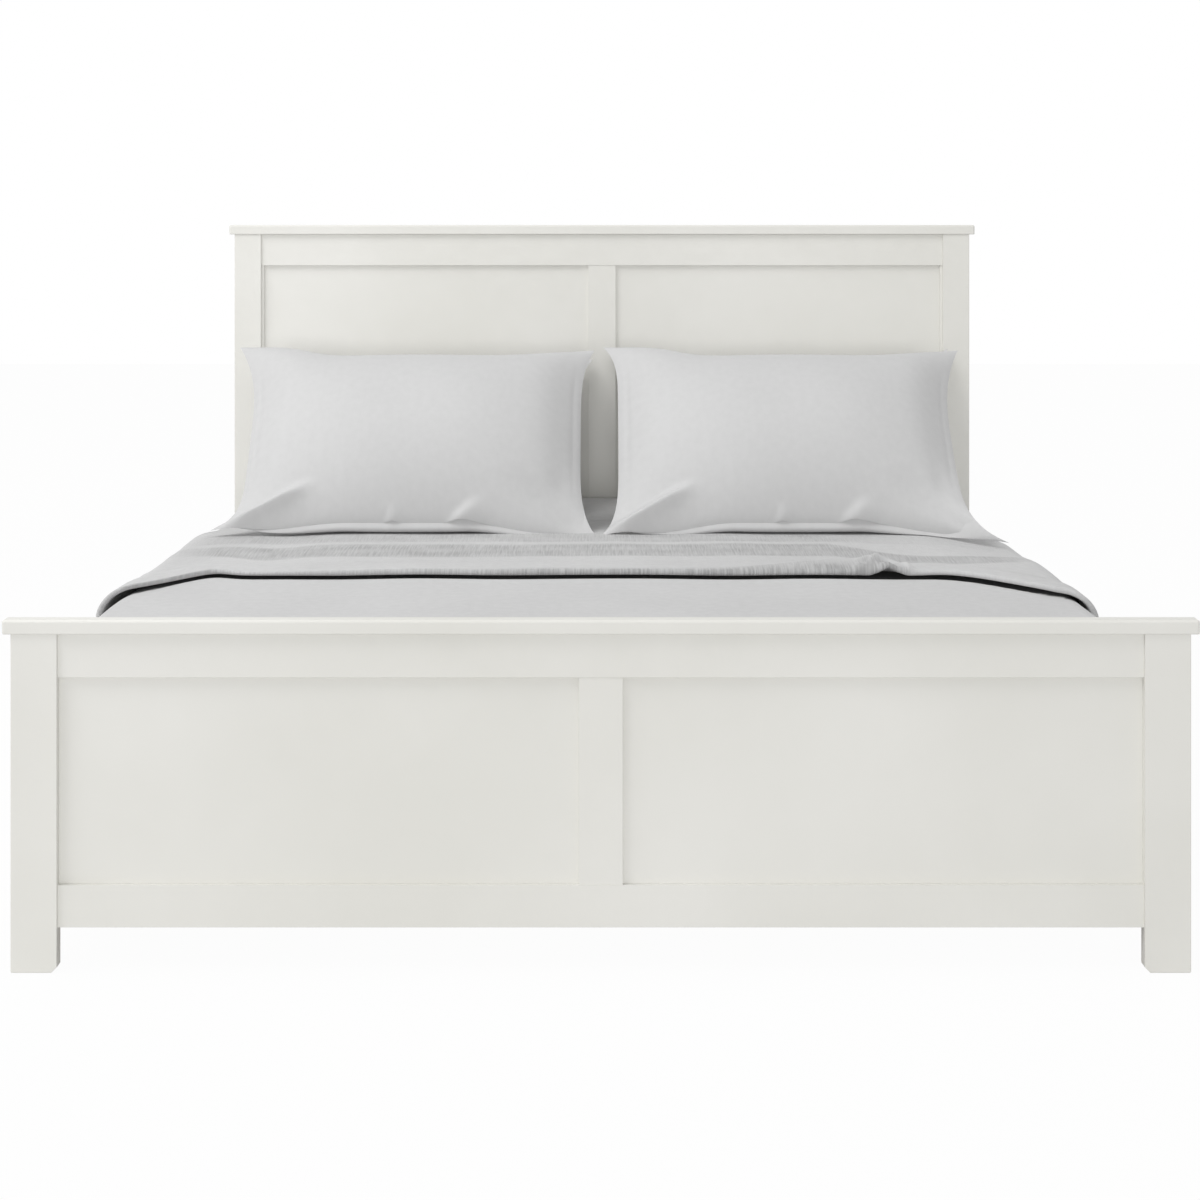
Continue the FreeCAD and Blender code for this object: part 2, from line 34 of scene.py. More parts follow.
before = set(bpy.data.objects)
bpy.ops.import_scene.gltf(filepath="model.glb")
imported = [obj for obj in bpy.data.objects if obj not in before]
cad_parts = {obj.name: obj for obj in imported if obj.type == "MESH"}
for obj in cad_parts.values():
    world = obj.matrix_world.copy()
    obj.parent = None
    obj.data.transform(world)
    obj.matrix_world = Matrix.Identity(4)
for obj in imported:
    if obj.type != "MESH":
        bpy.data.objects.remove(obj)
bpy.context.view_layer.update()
print("frame loaded:", len(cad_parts), "nodes")


# Small tools

def addNode(tree, kind, inputs=None, **settings):
    # one node with its settings; an input is a value or another node's socket
    node = tree.nodes.new(kind)
    for name, value in settings.items():
        setattr(node, name, value)
    for name, value in (inputs or {}).items():
        if isinstance(value, bpy.types.NodeSocket):
            tree.links.new(value, node.inputs[name])
        else:
            node.inputs[name].default_value = value
    return node


def linear(hexColour):
    # sRGB hex to linear red, green, blue and alpha
    shares = [int(hexColour[place:place + 2], 16) / 255 for place in (1, 3, 5)]
    return [share / 12.92 if share <= 0.04045 else ((share + 0.055) / 1.055) ** 2.4
            for share in shares] + [1.0]


def smoothStep(x, low, high):
    # 0 below low, 1 above high, with a soft turn between
    share = np.clip((x - low) / (high - low), 0.0, 1.0)
    return share * share * (3 - 2 * share)


def bell(x, middle, width):
    # 1 at the middle, falling off evenly on both sides
    return np.exp(-((x - middle) / width) ** 2)


def ripple(x, y, length, seed, count=7):
    # sum of a few sine waves of about one length, in seeded directions, between about -1 and 1
    rng = np.random.default_rng(seed)
    angles = rng.uniform(0, math.pi, count)
    phases = rng.uniform(0, 2 * math.pi, count)
    pitches = 2 * math.pi / (length * rng.uniform(0.7, 1.4, count))
    total = np.zeros(np.broadcast(x, y).shape)
    for angle, phase, pitch in zip(angles, phases, pitches):
        total += np.sin((x * math.cos(angle) + y * math.sin(angle)) * pitch + phase)
    return total / math.sqrt(count) / 1.3


def quadsOf(index):
    # four neighbours of each cell in a table of vertex numbers
    return np.stack([index[:-1, :-1], index[1:, :-1], index[1:, 1:], index[:-1, 1:]], axis=-1).reshape(-1, 4)


def newPiece(name, points, faces, uv=None, material=None, smooth=True, weld=False, ribsAndPaintedShade=None):
    # a mesh object from arrays of points, faces and, per vertex, cloth coordinates in metres and
    # how strongly the cloth's ribs and its painted shade show
    mesh = bpy.data.meshes.new(name)
    mesh.from_pydata(points.tolist(), [], faces.tolist())
    if uv is not None:
        corners = np.empty(len(mesh.loops), dtype=np.int32)
        mesh.loops.foreach_get("vertex_index", corners)
        layer = mesh.uv_layers.new(name="cloth")
        layer.data.foreach_set("uv", uv[corners].astype(np.float32).ravel())
    if ribsAndPaintedShade is not None:
        mesh.attributes.new("ribsAndPaintedShade", "FLOAT", "POINT").data.foreach_set("value", ribsAndPaintedShade)
    if weld:
        loose = bmesh.new()
        loose.from_mesh(mesh)
        bmesh.ops.remove_doubles(loose, verts=loose.verts, dist=1e-6)
        loose.to_mesh(mesh)
        loose.free()
    mesh.polygons.foreach_set("use_smooth", [smooth] * len(mesh.polygons))
    mesh.update()
    piece = bpy.data.objects.new(name, mesh)
    bpy.context.scene.collection.objects.link(piece)
    if material:
        mesh.materials.append(material)
    return piece


def addWall(piece, thickness):
    # gives a sheet its thickness, inwards
    wall = piece.modifiers.new("clothThickness", "SOLIDIFY")
    wall.thickness = thickness
    wall.offset = -1.0


def ridge(x, y, start, end, width, height, skew=0.0):
    # a soft fold along a line: a bump across it, faded at both ends, steeper on one side with skew
    length = math.hypot(end[0] - start[0], end[1] - start[1])
    along = ((x - start[0]) * (end[0] - start[0]) + (y - start[1]) * (end[1] - start[1])) / length ** 2
    across = ((x - start[0]) * (end[1] - start[1]) - (y - start[1]) * (end[0] - start[0])) / length
    spread = width * (1 + skew * np.tanh(across / width))
    fade = smoothStep(along, -0.05, 0.25) * (1 - smoothStep(along, 0.55, 1.05))
    return height * np.exp(-(across / spread) ** 2) * fade


# Finishes

def newFinish(name, colour, roughness, **sockets):
    # a principled shader with its constant values set on its own sockets
    material = bpy.data.materials.new(name)
    material.use_nodes = True
    tree = material.node_tree
    shader = tree.nodes["Principled BSDF"]
    shader.inputs["Base Color"].default_value = linear(colour)
    shader.inputs["Roughness"].default_value = roughness
    for socket, value in sockets.items():
        shader.inputs[socket.replace("_", " ")].default_value = value
    return material, tree, shader


def mixColours(tree, factor, low, high):
    # a blend of two hex colours, or colour sockets, by a factor socket
    low, high = (linear(colour) if isinstance(colour, str) else colour for colour in (low, high))
    mix = addNode(tree, "ShaderNodeMix", {0: factor, 6: low, 7: high}, data_type="RGBA")
    return mix.outputs[2]


def spanTo(tree, value, low, high, newLow, newHigh):
    # maps a range of a socket to another range, with both ends held
    node = addNode(tree, "ShaderNodeMapRange", {0: value, 1: low, 2: high, 3: newLow, 4: newHigh})
    return node.outputs[0]


paint = {
    "light": "#E6E5E0", "dark": "#E0DFD9",
    "toneSize": 0.55,       # metres over which the tone drifts
    "sheenSize": 0.03,      # metres over which the gloss drifts
    "rollerSize": 0.0022,   # metres from dimple to dimple of the sprayed and rolled film
    "rollerDepth": 0.00002,
    "edgeSoftness": 0.0007,  # radius to which the sander eases a board's edges
    "roughness": 0.50,
}


def paintedWood():
    # satin lacquer sprayed on sanded board: an even off-white film, faint dimples, softened edges
    p = paint
    material, tree, shader = newFinish("satinLacqueredBoard", p["light"], p["roughness"], IOR=1.49)
    place = addNode(tree, "ShaderNodeTexCoord").outputs["Object"]
    tone = addNode(tree, "ShaderNodeTexNoise", {"Vector": place, "Scale": 1 / p["toneSize"], "Detail": 3.0})
    drift = spanTo(tree, tone.outputs[0], 0.35, 0.65, 0.0, 1.0)
    tree.links.new(mixColours(tree, drift, p["dark"], p["light"]), shader.inputs["Base Color"])
    sheen = addNode(tree, "ShaderNodeTexNoise", {"Vector": place, "Scale": 1 / p["sheenSize"], "Detail": 4.0})
    gloss = spanTo(tree, sheen.outputs[0], 0.3, 0.7, p["roughness"] - 0.05, p["roughness"] + 0.06)
    tree.links.new(gloss, shader.inputs["Roughness"])
    film = addNode(tree, "ShaderNodeTexNoise", {"Vector": place, "Scale": 1 / p["rollerSize"], "Detail": 2.0})
    edge = addNode(tree, "ShaderNodeBevel", {"Radius": p["edgeSoftness"]}, samples=6)
    bump = addNode(tree, "ShaderNodeBump", {"Height": film.outputs[0], "Distance": p["rollerDepth"],
                                            "Strength": 0.6, "Normal": edge.outputs[0]})
    tree.links.new(bump.outputs[0], shader.inputs["Normal"])
    return material


timber = {
    # pale, deep and drifted tone
    "pine": ("#E2C795", "#CFA468", "#D6B27C"), "beech": ("#D9B78C", "#C79F72", "#CFAA7E"),
    "pineGrowth": 0.009, "beechGrowth": 0.004,  # metres from growth line to growth line
    "drawnOut": 0.045,                          # how much slower the pattern runs along a board
    "driftsPerMetre": 14.0, "poresPerMetre": 900.0, "poreDepth": 0.0003,
}


def rawTimber(name, tones, growth, along):
    # planed, unsealed timber: growth lines drawn out along the board, pores and a little colour drift
    t = timber
    pale, deep, drifted = tones
    material, tree, shader = newFinish(name, pale, 0.62, IOR=1.5)
    place = addNode(tree, "ShaderNodeTexCoord").outputs["Object"]
    draw = [1.0, 1.0, 1.0]
    draw[along] = t["drawnOut"]
    drawn = addNode(tree, "ShaderNodeMapping", {"Vector": place, "Scale": draw}).outputs[0]
    warp = addNode(tree, "ShaderNodeTexNoise", {"Vector": drawn, "Scale": t["driftsPerMetre"], "Detail": 4.0})
    lines = addNode(tree, "ShaderNodeTexNoise", {"Vector": drawn, "Scale": 1 / growth, "Detail": 3.0,
                                                 "Distortion": 1.2})
    fleck = addNode(tree, "ShaderNodeTexNoise", {"Vector": drawn, "Scale": t["poresPerMetre"], "Detail": 2.0})
    bands = spanTo(tree, lines.outputs[0], 0.42, 0.62, 0.0, 1.0)
    drift = spanTo(tree, warp.outputs[0], 0.3, 0.75, 0.0, 0.7)
    grown = mixColours(tree, bands, pale, deep)
    tree.links.new(mixColours(tree, drift, grown, drifted), shader.inputs["Base Color"])
    bump = addNode(tree, "ShaderNodeBump", {"Height": fleck.outputs[0], "Distance": t["poreDepth"],
                                            "Strength": 0.35})
    tree.links.new(bump.outputs[0], shader.inputs["Normal"])
    return material


zinc = {
    "colour": "#B9BBBC", "dull": "#AEB1B3", "bright": "#C6C8C9",
    "spangleSize": 0.006,   # metres from crystal to crystal
    "rollingSize": 0.0012,  # metres from line to line of the mill's rolls
}


def zincPlate():
    # bright zinc on pressed steel: cool grey spangle and fine rolling lines
    material, tree, shader = newFinish("zincPlatedSteel", zinc["colour"], 0.34, Metallic=1.0)
    place = addNode(tree, "ShaderNodeTexCoord").outputs["Object"]
    spangle = addNode(tree, "ShaderNodeTexVoronoi", {"Vector": place, "Scale": 1 / zinc["spangleSize"]})
    tree.links.new(mixColours(tree, spangle.outputs["Distance"], zinc["dull"], zinc["bright"]),
                   shader.inputs["Base Color"])
    rolling = addNode(tree, "ShaderNodeTexNoise", {"Vector": place, "Scale": 1 / zinc["rollingSize"],
                                                   "Detail": 3.0})
    tree.links.new(spanTo(tree, rolling.outputs[0], 0.3, 0.7, 0.28, 0.42), shader.inputs["Roughness"])
    return material


nylon = {"colour": "#2B2C2E", "grainSize": 0.0008, "grainDepth": 0.0001}


def mouldedNylon():
    # moulded nylon: near-black, lightly textured, with a soft gloss
    material, tree, shader = newFinish("mouldedNylon", nylon["colour"], 0.46, IOR=1.53)
    place = addNode(tree, "ShaderNodeTexCoord").outputs["Object"]
    grain = addNode(tree, "ShaderNodeTexNoise", {"Vector": place, "Scale": 1 / nylon["grainSize"],
                                                 "Detail": 2.0})
    bump = addNode(tree, "ShaderNodeBump", {"Height": grain.outputs[0], "Distance": nylon["grainDepth"],
                                            "Strength": 0.4})
    tree.links.new(bump.outputs[0], shader.inputs["Normal"])
    return material


def wovenCloth(name, light, dark, thread, depth, sheen, roughness=0.88, ribs=None):
    # woven cotton: two crossed sets of threads on the cloth's own coordinates, slubs, a slow drift of
    # the dye and, where asked, raised ribs whose darker colour also paints shade where the mesh asks for it;
    # the threads are drawn coarser than life so that they show
    material, tree, shader = newFinish(name, light, roughness, IOR=1.46, Sheen_Weight=sheen,
                                       Sheen_Roughness=0.55)
    cloth = addNode(tree, "ShaderNodeUVMap", uv_map="cloth").outputs[0]
    turns = math.pi / thread
    warp = addNode(tree, "ShaderNodeTexWave", {"Vector": cloth, "Scale": turns / 10, "Distortion": 0.6,
                                               "Detail": 1.0}, bands_direction="X")
    weft = addNode(tree, "ShaderNodeTexWave", {"Vector": cloth, "Scale": turns / 10, "Distortion": 0.6,
                                               "Detail": 1.0}, bands_direction="Y")
    weave = addNode(tree, "ShaderNodeMath", {0: warp.outputs["Fac"], 1: weft.outputs["Fac"]},
                    operation="MULTIPLY").outputs[0]
    slub = addNode(tree, "ShaderNodeTexNoise", {"Vector": cloth, "Scale": 1 / 0.018, "Detail": 5.0})
    drift = addNode(tree, "ShaderNodeTexNoise", {"Vector": cloth, "Scale": 1 / 0.35, "Detail": 2.0})
    tone = addNode(tree, "ShaderNodeMath", {0: slub.outputs[0], 1: drift.outputs[0]}, operation="ADD")
    tree.links.new(mixColours(tree, spanTo(tree, tone.outputs[0], 0.75, 1.25, 0.0, 1.0), dark, light),
                   shader.inputs["Base Color"])
    height = addNode(tree, "ShaderNodeBump", {"Height": weave, "Distance": depth, "Strength": 0.8})
    if ribs:
        sway = addNode(tree, "ShaderNodeMapping", {"Vector": cloth, "Scale": (1.0, ribs["sway"], 1.0)})
        rib = addNode(tree, "ShaderNodeTexNoise", {"Vector": sway.outputs[0], "Scale": 1 / ribs["pitch"],
                                                   "Detail": 2.0})
        shows = addNode(tree, "ShaderNodeAttribute", attribute_name="ribsAndPaintedShade").outputs["Fac"]
        height = addNode(tree, "ShaderNodeBump", {"Height": rib.outputs[0], "Distance": ribs["depth"],
                                                  "Strength": spanTo(tree, shows, 0.0, 1.0, 0.12, 1.0),
                                                  "Normal": height.outputs[0]})
        # the ribs' darker colour; where the mesh asks for it, on the cover's slot and the sheet's rolled
        # edge, it is painted shade
        shade = spanTo(tree, rib.outputs[0], 0.35, 0.65, ribs["least"], 1.0)
        grooveAndPaintedShade = addNode(tree, "ShaderNodeMath", {0: shows, 1: shade}, operation="MULTIPLY").outputs[0]
        plain = shader.inputs["Base Color"].links[0].from_socket
        tree.links.new(mixColours(tree, grooveAndPaintedShade, plain, ribs["shade"]), shader.inputs["Base Color"])
    tree.links.new(height.outputs[0], shader.inputs["Normal"])
    return material


# metres from rib to rib, how much slower they change along their length, their depth, the least share
# of their shade, and that shade; on the cover they only paint shade into the slot under the folded sheet,
# and on the sheet the same dark colour also paints shade along its rolled front edge
coverPaintedSlotShade = {"pitch": 0.0045, "sway": 0.10, "depth": 0.0, "least": 0.97, "shade": "#1C1C1C"}
sheetRibsAndPaintedShade = {"pitch": 0.0038, "sway": 0.05, "depth": 0.0028, "least": 0.45, "shade": "#9E9E9E"}
finishes = {
    "paintedWood": paintedWood(),
    "pineAcross": rawTimber("planedPineAcross", timber["pine"], timber["pineGrowth"], 0),
    "pineAlong": rawTimber("planedPineAlong", timber["pine"], timber["pineGrowth"], 1),
    "pineUpright": rawTimber("planedPineUpright", timber["pine"], timber["pineGrowth"], 2),
    "beech": rawTimber("turnedBeech", timber["beech"], timber["beechGrowth"], 2),
    "zinc": zincPlate(),
    "nylon": mouldedNylon(),
    "ticking": wovenCloth("mattressTicking", "#E9E8E4", "#DDDCD7", 0.0018, 0.0003, 0.1),
    "cover": wovenCloth("plainWovenCottonWithPaintedSlotShade", "#D6D6D6", "#CFCFCF", 0.0016, 0.00025, 0.15, ribs=coverPaintedSlotShade),
    "sheet": wovenCloth("ribbedCottonWithPaintedRollShade", "#D6D6D6", "#CDCDCD", 0.0018, 0.0003, 0.15, ribs=sheetRibsAndPaintedShade),
    "pillow": wovenCloth("cottonSateen", "#CCCCCC", "#C8C8C8", 0.0010, 0.00006, 0.2, 0.72),
}


def dressFrame():
    # every carried-over CAD node gets its finish by what it is made of; the first row that fits holds
    table = [
        (("footboard", "headboard", "side_rail"), "paintedWood"),
        (("slat_ledge", "centre_beam"), "pineAlong"),
        (("slat_",), "pineAcross"),
        (("centre_leg_bolts", "beam_hanger", "rail_hook", "post_slotted", "glide_inserts"), "zinc"),
        (("centre_leg_",), "pineUpright"),
        (("leg_glide",), "nylon"),
    ]
    for name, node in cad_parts.items():
        finish = "beech" if "dowels" in name else next((finish for words, finish in table
                                                        if name.startswith(words)), None)
        for slot in node.material_slots if finish else ():
            slot.material = finishes[finish]


dressFrame()
print("frame dressed")


# Screw heads that show: along both ledges and on the hangers of the beam

def screwHeads(name, places, outward, radius=0.0042, height=0.0024):
    # a domed head with a round socket, turned about each screw's own axis
    shape = np.array([(0, 0.45), (0.36, 0.45), (0.42, 1.0), (0.70, 0.90), (0.92, 0.55), (1.0, 0.0), (0, 0)])
    turn = np.linspace(0, 2 * math.pi, 21)
    places, outward = (np.array(values, dtype=float) for values in (places, outward))
    sideways = np.cross(outward, (0, 0, 1))
    ring = np.cos(turn)[:, None, None] * sideways + np.sin(turn)[:, None, None] * np.array([0, 0, 1.0])
    points = (places + shape[:, 1, None, None, None] * height * outward
              + shape[:, 0, None, None, None] * radius * ring)
    index = np.arange(points[..., 0].size).reshape(points.shape[:3])
    faces = np.concatenate([quadsOf(index[:, :, one])[:, ::-1] for one in range(len(places))])
    piece = newPiece(name, points.reshape(-1, 3), faces, None, finishes["zinc"], weld=True)
    bpy.context.view_layer.update()
    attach(piece, "bed")


screws = {
    "onLedge": 9, "ledgeEnd": 0.09,  # how many, and how far the outer ones stand from a ledge's ends
    "flange": 0.0025, "flangeEdge": 0.0054, "flangeShares": (0.25, 0.78),  # where they sit on a hanger
}


def screwPlaces():
    # a row along the inner face of each ledge, and two on each flange of the beam's hangers
    places, outward = [], []
    for side, way in (("left", 1), ("right", -1)):
        low, high = (np.array(corner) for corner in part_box("slat_ledge_" + side))
        face = high[0] if way > 0 else low[0]
        row = np.linspace(low[1] + screws["ledgeEnd"], high[1] - screws["ledgeEnd"], screws["onLedge"])
        places += [(face, y, (low[2] + high[2]) / 2) for y in row]
        outward += [(way, 0, 0)] * screws["onLedge"]
    for end, way in (("foot", 1), ("head", -1)):
        low, high = (np.array(corner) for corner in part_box("beam_hanger_" + end))
        face = (low[1] if way > 0 else high[1]) + way * screws["flange"]
        places += [(x, face, low[2] + share * (high[2] - low[2]))
                   for x in (low[0] + screws["flangeEdge"], high[0] - screws["flangeEdge"])
                   for share in screws["flangeShares"]]
        outward += [(0, way, 0)] * 4
    return places, outward


screwHeads("panScrewHeads", *screwPlaces())
print("screw heads made")


# Mattress and cover: shells carried round a rectangle with round corners

def ringOutline(halfX, halfY, corner, count):
    # centre points and outward directions round a rectangle with round corners, evenly by length:
    # a point of the outline is its centre point plus the corner radius along its direction
    straightX, straightY = halfX - corner, halfY - corner
    lengths = np.array([2 * straightY, corner * math.pi / 2, 2 * straightX, corner * math.pi / 2] * 2)
    marks = np.concatenate([[0.0], np.cumsum(lengths)])
    along = np.linspace(0.0, marks[-1], count, endpoint=False)
    leg = np.clip(np.searchsorted(marks, along, side="right") - 1, 0, 7)
    share = (along - marks[leg]) / lengths[leg]
    turn = (leg // 2) * math.pi / 2 + np.where(leg % 2 == 1, share * math.pi / 2, 0.0)
    centreX = np.array([1, 1, 1, -1, -1, -1, -1, 1])[leg] * straightX
    centreY = np.array([-1, 1, 1, 1, 1, -1, -1, -1])[leg] * straightY
    centreX = centreX + np.array([0, 0, -1, 0, 0, 0, 1, 0])[leg] * share * 2 * straightX
    centreY = centreY + np.array([1, 0, 0, 0, -1, 0, 0, 0])[leg] * share * 2 * straightY
    return centreX, centreY, np.cos(turn), np.sin(turn), along


def ringShell(outline, scales, reaches, levels, middleY):
    # each ring is the outline's centre points pushed out by its reach, then scaled about the middle
    centreX, centreY, outX, outY, along = outline
    scale, reach, level = (np.asarray(values, dtype=float)[:, None] for values in (scales, reaches, levels))
    x = scale * (centreX + reach * outX)
    y = scale * (centreY + reach * outY) + middleY
    z = np.broadcast_to(level, x.shape).copy()
    index = np.arange(x.size).reshape(x.shape)
    return x, y, z, np.concatenate([index, index[:, :1]], axis=1)


mattress = {
    "halfX": 0.965, "halfY": 1.016, "middleY": -0.0025, "corner": 0.07,
    "low": 0.2765, "high": 0.5345,
    "edge": 0.022, "topEdge": 0.060,   # how far the side draws in at its lower and upper edge
    "pipe": 0.006, "pipeRows": (0.045, 0.90), "pipeWidth": 0.016,
    "stitchDepth": 0.003, "stitchRows": (0.22, 0.45, 0.68), "stitchWidth": 0.012,
    "sagShare": 1.1, "sagLevels": (0.475, 0.530),  # it sinks with the cover above these levels
    "round": 360, "sideRows": 61,
}
# how deep the bedding sinks at each side, between which distances from the middle this sets in, and
# between which places along the bed
sag = {"right": 0.020, "rightSpan": (0.74, 0.96), "left": 0.007, "leftSpan": (0.78, 0.96),
       "along": (-0.16, 0.10)}


def edgeSag(x, y):
    # how far the bedding sinks along its sides towards the head, under the pillows' corners
    sides = sag["right"] * smoothStep(x, *sag["rightSpan"]) + sag["left"] * smoothStep(-x, *sag["leftSpan"])
    return sides * smoothStep(y, *sag["along"])


def mattressShell():
    # profile: bottom from the middle outwards, a barrelled side with a piping near each edge and
    # stitched rows between them, and the top back to the middle; its upper part sinks with the cover
    m = mattress
    outline = ringOutline(m["halfX"], m["halfY"], m["corner"], m["round"])
    side = 0.5 - 0.5 * np.cos(np.linspace(0, math.pi, m["sideRows"]))
    reach = m["corner"] - m["pipe"] - np.where(side < 0.5, m["edge"] * np.abs(2 * side - 1) ** 9,
                                               m["topEdge"] * np.abs(2 * side - 1) ** 6)
    for place in m["pipeRows"]:
        reach += m["pipe"] * bell(side, place, m["pipeWidth"])
    for place in m["stitchRows"]:
        reach -= m["stitchDepth"] * bell(side, place, m["stitchWidth"])
    flat = np.array([0.0, 0.2, 0.4, 0.6, 0.72, 0.78, 0.83, 0.87, 0.91, 0.95, 0.98])
    scales = np.concatenate([flat, np.ones(side.size), flat[::-1]])
    reaches = np.concatenate([np.full(flat.size, reach[0]), reach, np.full(flat.size, reach[-1])])
    levels = np.concatenate([np.full(flat.size, m["low"]), m["low"] + side * (m["high"] - m["low"]),
                             np.full(flat.size, m["high"])])
    x, y, z, index = ringShell(outline, scales, reaches, levels, m["middleY"])
    z = z - m["sagShare"] * edgeSag(x, y) * smoothStep(z, *m["sagLevels"])
    arc = np.cumsum(np.concatenate([[0.0], np.hypot(np.diff(reaches), np.diff(levels))]))[:, None]
    uv = np.stack([np.where(scales[:, None] < 1, x, outline[4] + 0 * x),
                   np.where(scales[:, None] < 1, y, arc + 0 * y)], axis=-1)
    return np.stack([x, y, z], axis=-1).reshape(-1, 3), quadsOf(index.T), uv.reshape(-1, 2)


points, faces, uv = mattressShell()
mattressPiece = newPiece("mattressBody", points, faces, uv, finishes["ticking"], weld=True)
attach(mattressPiece, "bed")
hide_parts("mattress")
print("mattress made")


fold = {
    "front": -0.294, "back": 0.44,       # where the turned-down part starts and ends along the bed
    "left": -0.9865, "right": 0.9770,    # how far its sides stand out
    "thickness": 0.0114, "gap": 0.0066,  # of the folded layers, and of the slot under the rolled edge
    "gapMore": 0.40,                     # how much more the slot opens between the crumple and the side
    "clear": 0.0012,                     # how far the lower layer stands clear of the cover
    "cloth": 0.0022, "under": 0.42,      # thickness of one layer, and how far the lower one runs back
    "edge": 0.045, "hem": 0.405,         # radius over the bed's edge, and height of the side hems
    "sweepLeft": 0.20, "sweepRight": 0.24,  # how far the front edge runs forward at the sides
    "bands": ((-0.088, 0.080), (0.092, 0.235)),  # where its coarse woven bands lie
    "bandShade": (0.66, 0.47),           # and how strongly they show
    "crumple": 0.608,                    # where the front edge is pushed up
    "arch": 0.018, "ring": 0.0095, "slack": 0.0095,  # heights of the crumple's parts
    # its ridges: start and end from the pushed-up place, width, height and skew
    "ridges": (((-0.052, -0.01), (0.000, 0.150), 0.011, 0.011, 0.5),
               ((0.005, 0.050), (0.066, 0.020), 0.012, 0.007, 0.3),
               ((-0.015, 0.055), (0.045, 0.090), 0.014, -0.005, 0.0)),
    "across": 420, "alongTop": 84, "alongRoll": 12, "alongUnder": 20,
}


def foldFront(x):
    # the front edge runs straight across the middle and sweeps forward at both sides
    f = fold
    left = smoothStep(-x, 0.80, 1.02) * f["sweepLeft"] - 0.035 * bell(x, -0.83, 0.055)
    right = smoothStep(x, 0.70, 1.03) * f["sweepRight"]
    return f["front"] - left - right


cover = {
    "halfX": 0.9755, "halfY": 1.0240, "middleY": -0.0027, "corner": 0.080,
    "top": 0.5405, "crown": 0.004,    # height at the edge, and how much the middle stands above it
    "edge": 0.045,                    # radius over the mattress's edge
    "hem": 0.300,                     # height of the hem, tucked behind the rails
    "bulge": 0.010,                   # how far the hanging sides stand off above the rails
    "hemFlare": 0.0105,               # how far the hem leans out towards the rails
    "foldDepth": 0.0040, "foldPitch": 0.16,
    "wave": 0.0011, "waveLength": 0.33,
    "swell": 0.0030, "dip": 0.0030,   # ahead of the folded sheet, and under its front edge
    "thickness": 0.003, "round": 420, "flatRows": 92, "bendRows": 9, "hangRows": 18,
}
# how far the bedding's sides stand out, with the places along the bed below which this is full and
# above which it is gone; and between which distances from the middle it sets in
flare = {"left": ((0.016, -0.55, -0.15), (0.012, -0.85, -0.62)), "right": ((0.007, -0.80, -0.55),),
         "span": (0.82, 0.94)}


def edgeFlare(x, y):
    # how far the bedding's sides stand out sideways towards the foot, to the right positive
    left, right = (sum(reach * (1 - smoothStep(y, full, gone)) for reach, full, gone in flare[side])
                   for side in ("left", "right"))
    return right * smoothStep(x, *flare["span"]) - left * smoothStep(-x, *flare["span"])


def coverTop(x, y, pressed=False):
    # height of the cover over the middle: a crown that dies away towards the edges, slow waves and,
    # for the cover itself, a low swell ahead of the folded sheet and a hollow under its front edge
    c = cover
    crown = c["crown"] * np.clip(1 - (x / c["halfX"]) ** 2, 0, 1) * np.clip(1 - (y / c["halfY"]) ** 2, 0, 1)
    back = y - foldFront(x)
    step = c["swell"] * bell(back, -0.018, 0.015) \
        - c["dip"] * smoothStep(back, -0.006, 0.020) * (1 - smoothStep(back, 0.10, 0.16))
    inside = 1 - smoothStep(np.abs(x), 0.86, 0.92)
    return c["top"] + crown + c["wave"] * ripple(x, y, c["waveLength"], 11) + step * inside * pressed \
        - edgeSag(x, y)


